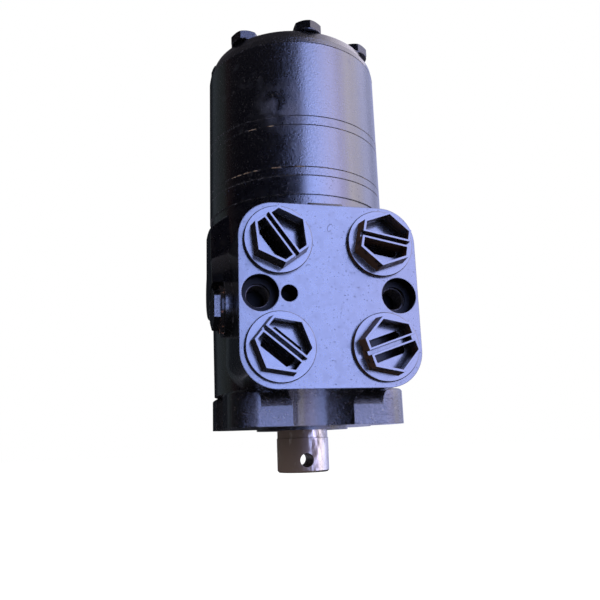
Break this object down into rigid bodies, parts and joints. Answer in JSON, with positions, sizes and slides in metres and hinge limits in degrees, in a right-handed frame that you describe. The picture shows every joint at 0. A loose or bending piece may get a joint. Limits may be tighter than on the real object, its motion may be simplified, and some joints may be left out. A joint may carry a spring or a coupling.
{
  "type": "orbital steering unit",
  "caption": "Black hydraulic steering unit: ported valve housing with a column flange and stub shaft, two stacked gear sets and a bolted end cover.",
  "frame": {"origin": "centre of the column flange's face, on the shaft's axis", "axes": "+Z along the shaft's axis towards the end cover, port face towards -Y"},
  "size_m": [0.0936, 0.1155, 0.2216],
  "materials": {
    "painted_casting": "gloss black paint over a rough casting",
    "painted_steel": "gloss black paint over turned steel",
    "ground_steel": "turned and ground steel, slightly tarnished",
    "seal_rubber": "matt rubber",
    "plug_plastic": "moulded black plastic",
    "copper_washer": "soft copper",
    "brass_cage": "stamped sheet"
  },
  "bodies": {
    "housing_body": {"housing": "painted_casting", "shaft_seal": "seal_rubber", "dust_seal": "seal_rubber", "bearing_outer_race": "ground_steel", "distribution_plate": "painted_steel", "lower_gear_rim": "painted_steel", "spacer_plate": "painted_steel", "upper_gear_rim": "painted_steel", "end_cover": "painted_steel", "housing_seal": "seal_rubber", "lower_rim_seal_below": "seal_rubber", "lower_rim_seal_above": "seal_rubber", "upper_rim_seal_below": "seal_rubber", "upper_rim_seal_above": "seal_rubber", "cover_bolts": "painted_steel", "check_valve_bolt": "painted_steel", "bolt_washers": "painted_steel", "relief_plug": "painted_steel", "relief_plug_washer": "copper_washer", "relief_adjusting_screw": "ground_steel", "relief_spring": "ground_steel", "relief_seat": "ground_steel", "check_ball_bushing": "ground_steel"},
    "sleeve_body": {"sleeve": "ground_steel", "bearing_inner_race": "ground_steel", "spring_ring": "ground_steel", "cross_pin": "ground_steel", "centring_springs": "ground_steel"},
    "spool_body": {"spool": "ground_steel"},
    "thrust_cage_body": {"bearing_cage": "brass_cage", "bearing_rollers": "ground_steel"},
    "orbit_body": {"rotor_spacer": "ground_steel"},
    "gear_wheel_body": {"lower_gear_wheel": "ground_steel", "upper_gear_wheel": "ground_steel", "coupling_shaft": "ground_steel"},
    "cardan_body": {"cardan_shaft": "ground_steel"},
    "relief_cone_body": {"relief_cone": "ground_steel"},
    "check_ball_body": {"check_ball": "ground_steel"},
    "plug_top_left_body": {"port_plug_top_left": "plug_plastic"},
    "plug_top_right_body": {"port_plug_top_right": "plug_plastic"},
    "plug_bottom_left_body": {"port_plug_bottom_left": "plug_plastic"},
    "plug_bottom_right_body": {"port_plug_bottom_right": "plug_plastic"}
  },
  "joints": [
    {"name": "sleeve_turn", "type": "hinge", "parent": "housing_body", "child": "sleeve_body", "pos_m": [0, 0, 0], "axis": [0, 0, 1], "continuous": true},
    {"name": "spool_deflection", "type": "hinge", "parent": "sleeve_body", "child": "spool_body", "pos_m": [0, 0, 0], "axis": [0, 0, 1], "range_deg": [-8, 8], "stiffness_Nm_per_rad": 8},
    {"name": "thrust_cage_turn", "type": "hinge", "parent": "housing_body", "child": "thrust_cage_body", "pos_m": [0, 0, 0.0154], "axis": [0, 0, 1], "continuous": true},
    {"name": "rotor_orbit", "type": "hinge", "parent": "housing_body", "child": "orbit_body", "pos_m": [0, 0, 0], "axis": [0, 0, 1], "continuous": true},
    {"name": "gear_wheel_spin", "type": "hinge", "parent": "orbit_body", "child": "gear_wheel_body", "pos_m": [0, 0.0033, 0], "axis": [0, 0, 1], "continuous": true},
    {"name": "cardan_spin", "type": "hinge", "parent": "orbit_body", "child": "cardan_body", "pos_m": [0, 0, 0.04], "axis": [0, 0.0379, 0.9993], "continuous": true},
    {"name": "relief_lift", "type": "slide", "parent": "housing_body", "child": "relief_cone_body", "axis": [-1, 0, 0], "range_m": [0, 0.0008], "stiffness_N_per_m": 5000},
    {"name": "check_ball_lift", "type": "slide", "parent": "housing_body", "child": "check_ball_body", "axis": [0, -1, 0], "range_m": [0, 0.0006]},
    {"name": "plug_top_left_out", "type": "slide", "parent": "housing_body", "child": "plug_top_left_body", "axis": [0, -1, 0], "range_m": [0, 0.03]},
    {"name": "plug_top_right_out", "type": "slide", "parent": "housing_body", "child": "plug_top_right_body", "axis": [0, -1, 0], "range_m": [0, 0.03]},
    {"name": "plug_bottom_left_out", "type": "slide", "parent": "housing_body", "child": "plug_bottom_left_body", "axis": [0, -1, 0], "range_m": [0, 0.03]},
    {"name": "plug_bottom_right_out", "type": "slide", "parent": "housing_body", "child": "plug_bottom_right_body", "axis": [0, -1, 0], "range_m": [0, 0.03]}
  ],
  "couplings": [
    {"joint": "thrust_cage_turn", "follows": "sleeve_turn", "ratio": 0.5},
    {"joint": "rotor_orbit", "follows": "sleeve_turn", "ratio": -6},
    {"joint": "gear_wheel_spin", "follows": "sleeve_turn", "ratio": 7},
    {"joint": "cardan_spin", "follows": "sleeve_turn", "ratio": 7}
  ]
}
